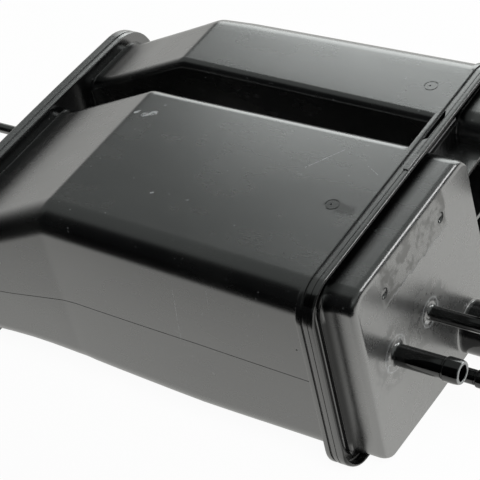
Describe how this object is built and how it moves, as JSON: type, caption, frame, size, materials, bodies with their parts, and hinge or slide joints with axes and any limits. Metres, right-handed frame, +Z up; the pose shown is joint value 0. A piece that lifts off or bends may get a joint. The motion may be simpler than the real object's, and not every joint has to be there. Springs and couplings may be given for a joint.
{
  "type": "charcoal canister",
  "caption": "Black moulded fuel vapour canister: carbon chambers side by side, ramped at the rear, with a welded cap of hose spigots at one end and a shallow rear cap.",
  "frame": {"origin": "Middle of the box around the whole part, at the height of its base", "axes": "+X towards the hose spigots along the chambers, +Y across from the main to the vent chamber, +Z up"},
  "size_m": [0.2912, 0.1772, 0.103],
  "materials": {
    "black_nylon": "satin moulded, lightly scuffed",
    "activated_carbon": "loose black pellets",
    "grey_foam": "open-cell foam",
    "natural_plastic": "natural moulded",
    "spring_steel": "drawn wire"
  },
  "bodies": {
    "root": {"canister_body": "black_nylon", "port_cap": "black_nylon", "rear_cap": "black_nylon", "main_carbon_bed": "activated_carbon", "vent_carbon_bed": "activated_carbon", "main_port_pad": "grey_foam", "vent_port_pad": "grey_foam", "main_rear_pad": "grey_foam", "vent_rear_pad": "grey_foam", "main_retainer": "natural_plastic", "vent_retainer": "natural_plastic", "main_rear_screen": "natural_plastic", "vent_rear_screen": "natural_plastic", "main_spring_upper": "spring_steel", "main_spring_lower": "spring_steel", "vent_spring_upper": "spring_steel", "vent_spring_lower": "spring_steel"}
  },
  "joints": []
}
